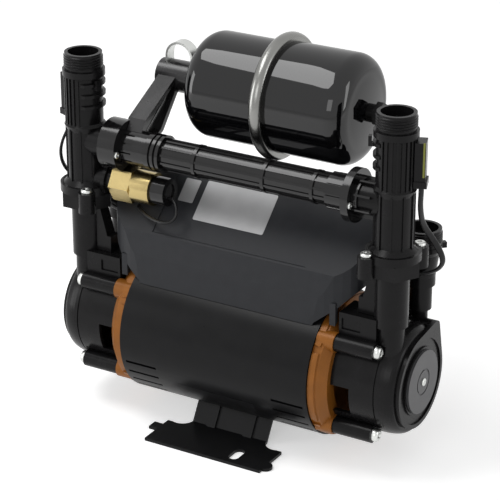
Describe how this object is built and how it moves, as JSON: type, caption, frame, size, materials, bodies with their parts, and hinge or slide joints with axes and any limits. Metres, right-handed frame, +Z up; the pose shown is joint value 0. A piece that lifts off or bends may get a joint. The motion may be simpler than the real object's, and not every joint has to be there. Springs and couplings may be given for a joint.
{
  "type": "shower pump",
  "caption": "Shower booster pump: motor with a pump head on each end, outlet columns, bridge tube, pressure switch and banded pressure vessel on a pressed foot.",
  "frame": {"origin": "on the plane that the foot stands on, straight below the middle of the motor shaft", "axes": "+X along the motor shaft towards the right pump head, +Y from the front to the pressure vessel, +Z up along the outlet columns"},
  "size_m": [0.2895, 0.1454, 0.282],
  "materials": {
    "foot_bracket": "satin",
    "foot_screws": "zinc plated",
    "motor_cover": "satin",
    "stator_core": "laminated",
    "stator_winding": "enamelled copper wire",
    "rotor_core": "machined",
    "motor_shaft": "ground",
    "cooling_fan": "moulded",
    "ball_bearings": "ground",
    "left_end_shield": "orange coated",
    "right_end_shield": "orange coated",
    "left_adapter": "satin black",
    "right_adapter": "satin black",
    "shaft_seals": "rubber and carbon",
    "left_impeller": "moulded",
    "right_impeller": "moulded",
    "left_pump_body": "satin black",
    "right_pump_body": "satin black",
    "body_seals": "rubber",
    "left_suction_cap": "satin black",
    "right_suction_cap": "satin black",
    "end_discs": "satin grey",
    "end_disc_screws": "zinc plated",
    "tie_screws": "zinc plated",
    "left_inlet_port": "satin black",
    "right_inlet_port": "satin black",
    "left_outlet_column": "satin black",
    "right_outlet_column": "satin black",
    "column_seals": "rubber",
    "column_screws": "zinc plated",
    "left_flow_float": "moulded",
    "right_flow_float": "moulded",
    "float_stops": "moulded",
    "left_flow_sensor": "satin black",
    "right_flow_sensor": "satin black",
    "left_sensor_lead": "sheathed lead",
    "right_sensor_lead": "sheathed lead",
    "bridge_tube": "satin black",
    "bridge_tee": "satin black",
    "collar_nut": "satin black",
    "bridge_socket": "satin black",
    "bridge_seals": "rubber",
    "bridge_screws": "zinc plated",
    "pressure_switch": "machined",
    "switch_cap": "satin black",
    "switch_lead": "sheathed lead",
    "tank_arm": "gloss",
    "tank_clip": "zinc plated",
    "tank_left_shell": "gloss black",
    "tank_right_shell": "gloss black",
    "tank_ring": "satin",
    "tank_diaphragm": "rubber",
    "tank_fitting": "black",
    "terminal_cover": "satin charcoal",
    "circuit_board": "resin board",
    "capacitor": "drawn can"
  },
  "bodies": {
    "housing": {"foot_bracket": "foot_bracket", "foot_screws": "foot_screws", "motor_cover": "motor_cover", "stator_core": "stator_core", "stator_winding": "stator_winding", "ball_bearings": "ball_bearings", "left_end_shield": "left_end_shield", "right_end_shield": "right_end_shield", "left_adapter": "left_adapter", "right_adapter": "right_adapter", "shaft_seals": "shaft_seals", "left_pump_body": "left_pump_body", "right_pump_body": "right_pump_body", "body_seals": "body_seals", "left_suction_cap": "left_suction_cap", "right_suction_cap": "right_suction_cap", "end_discs": "end_discs", "end_disc_screws": "end_disc_screws", "tie_screws": "tie_screws", "left_inlet_port": "left_inlet_port", "right_inlet_port": "right_inlet_port", "left_outlet_column": "left_outlet_column", "right_outlet_column": "right_outlet_column", "column_seals": "column_seals", "column_screws": "column_screws", "float_stops": "float_stops", "left_flow_sensor": "left_flow_sensor", "right_flow_sensor": "right_flow_sensor", "left_sensor_lead": "left_sensor_lead", "right_sensor_lead": "right_sensor_lead", "bridge_tube": "bridge_tube", "bridge_tee": "bridge_tee", "collar_nut": "collar_nut", "bridge_socket": "bridge_socket", "bridge_seals": "bridge_seals", "bridge_screws": "bridge_screws", "pressure_switch": "pressure_switch", "switch_cap": "switch_cap", "switch_lead": "switch_lead", "tank_arm": "tank_arm", "tank_clip": "tank_clip", "tank_left_shell": "tank_left_shell", "tank_right_shell": "tank_right_shell", "tank_ring": "tank_ring", "tank_diaphragm": "tank_diaphragm", "tank_fitting": "tank_fitting", "terminal_cover": "terminal_cover", "circuit_board": "circuit_board", "capacitor": "capacitor"},
    "rotor": {"motor_shaft": "motor_shaft", "rotor_core": "rotor_core", "cooling_fan": "cooling_fan", "left_impeller": "left_impeller", "right_impeller": "right_impeller"},
    "left_float": {"left_flow_float": "left_flow_float"},
    "right_float": {"right_flow_float": "right_flow_float"}
  },
  "joints": [
    {"name": "shaft_spin", "type": "hinge", "parent": "housing", "child": "rotor", "pos_m": [0, 0, 0.065], "axis": [1, 0, 0], "continuous": true},
    {"name": "left_float_lift", "type": "slide", "parent": "housing", "child": "left_float", "axis": [0, 0, 1], "range_m": [0, 0.008]},
    {"name": "right_float_lift", "type": "slide", "parent": "housing", "child": "right_float", "axis": [0, 0, 1], "range_m": [0, 0.008]}
  ]
}
